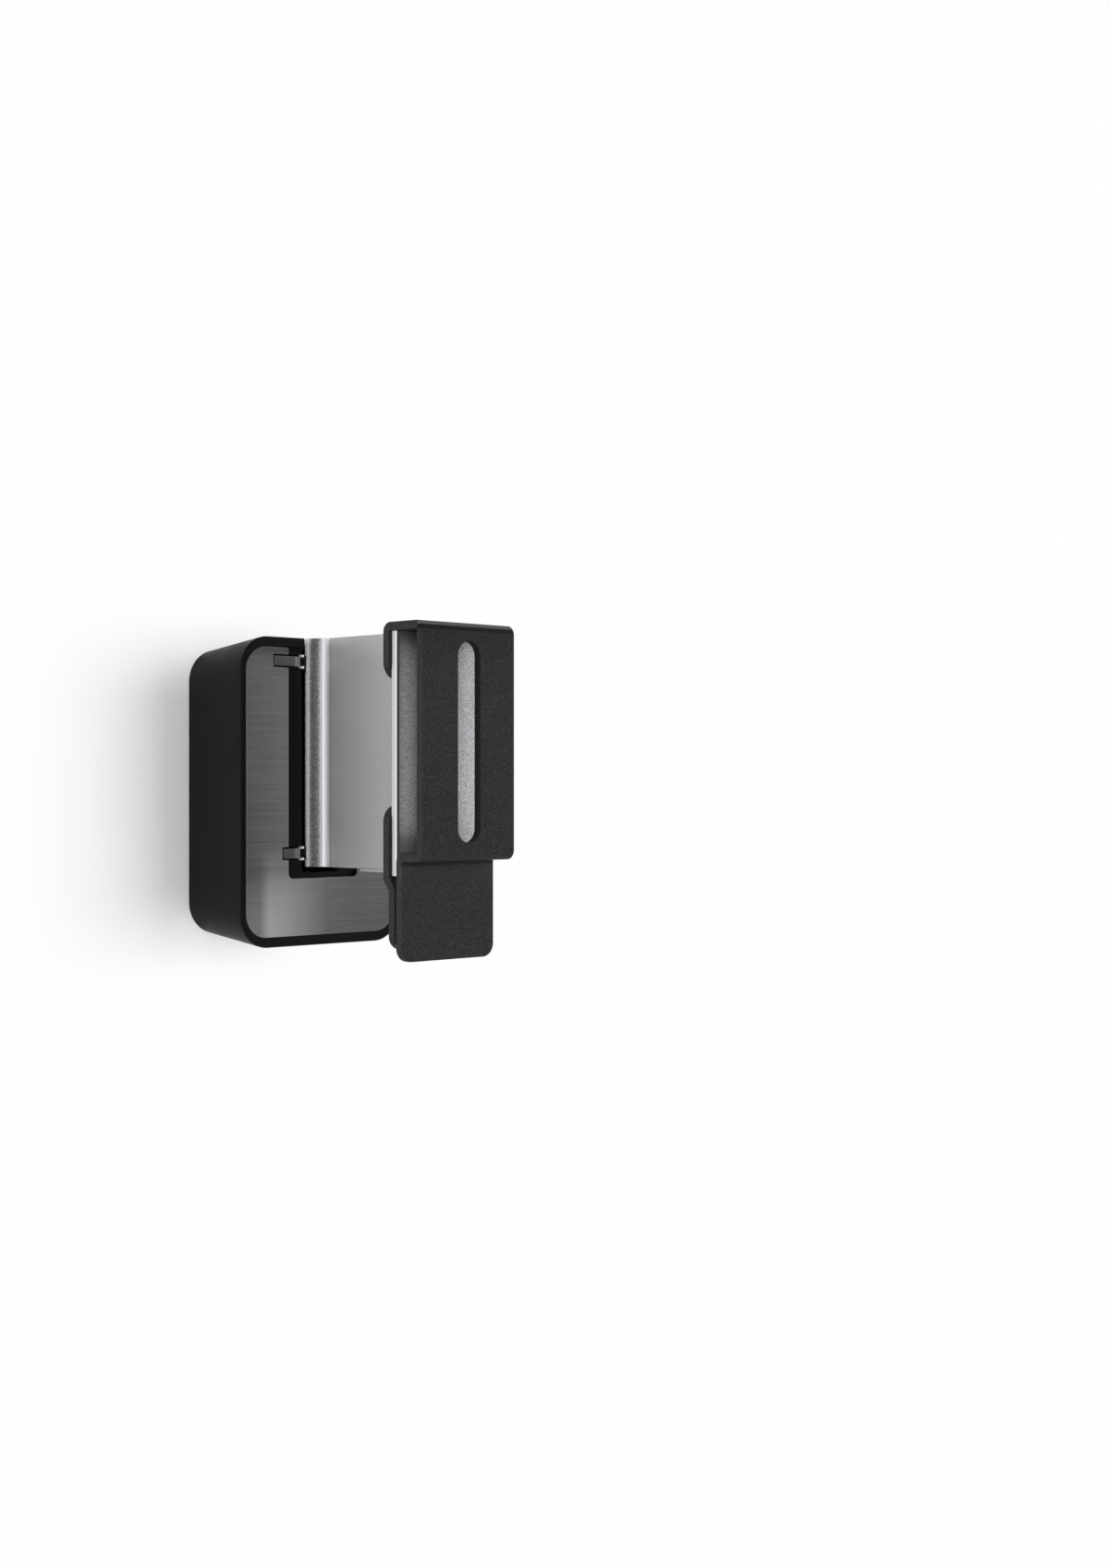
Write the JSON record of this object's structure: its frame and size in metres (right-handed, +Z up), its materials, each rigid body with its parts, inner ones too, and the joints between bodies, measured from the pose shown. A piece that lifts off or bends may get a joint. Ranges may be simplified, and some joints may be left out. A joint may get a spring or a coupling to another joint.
{
  "type": "speaker wall bracket",
  "caption": "Wall bracket for a small speaker: a moulded wall box with brushed trim, an aluminium arm that swings on a vertical hinge, and a folded slotted plate for the speaker.",
  "frame": {"origin": "middle of the face that lies on the wall, at the centre of the wall screw pattern", "axes": "+X to the right as seen from the room, +Y into the wall, +Z up"},
  "size_m": [0.0632, 0.0981, 0.0981],
  "materials": {
    "moulding": "fine matt moulding",
    "brushed_trim": "brushed along X",
    "arm_metal": "satin blasted",
    "black_powder": "fine powder coat",
    "plate_steel": "satin steel",
    "pin_steel": "ground steel",
    "bush_plastic": "natural acetal",
    "zinc_steel": "zinc plated"
  },
  "bodies": {
    "wall_base": {"wall_plate": "plate_steel", "hinge_plate_upper": "plate_steel", "hinge_plate_lower": "plate_steel", "cover": "moulding", "trim_plate": "brushed_trim", "hinge_bush_1": "bush_plastic", "hinge_bush_2": "bush_plastic", "hinge_bush_3": "bush_plastic", "hinge_bush_4": "bush_plastic"},
    "swing_arm": {"arm": "arm_metal", "hinge_pin": "pin_steel", "disc_spring": "pin_steel", "speaker_plate": "black_powder", "rear_clip": "black_powder", "clamp_stud_left": "zinc_steel", "clamp_stud_right": "zinc_steel", "clamp_washer_left": "zinc_steel", "clamp_washer_right": "zinc_steel", "clamp_nut_left": "zinc_steel", "clamp_nut_right": "zinc_steel"}
  },
  "joints": [
    {"name": "arm_swing", "type": "hinge", "parent": "wall_base", "child": "swing_arm", "pos_m": [0, -0.0293, 0], "axis": [0, 0, 1], "range_deg": [-45, 45]}
  ]
}
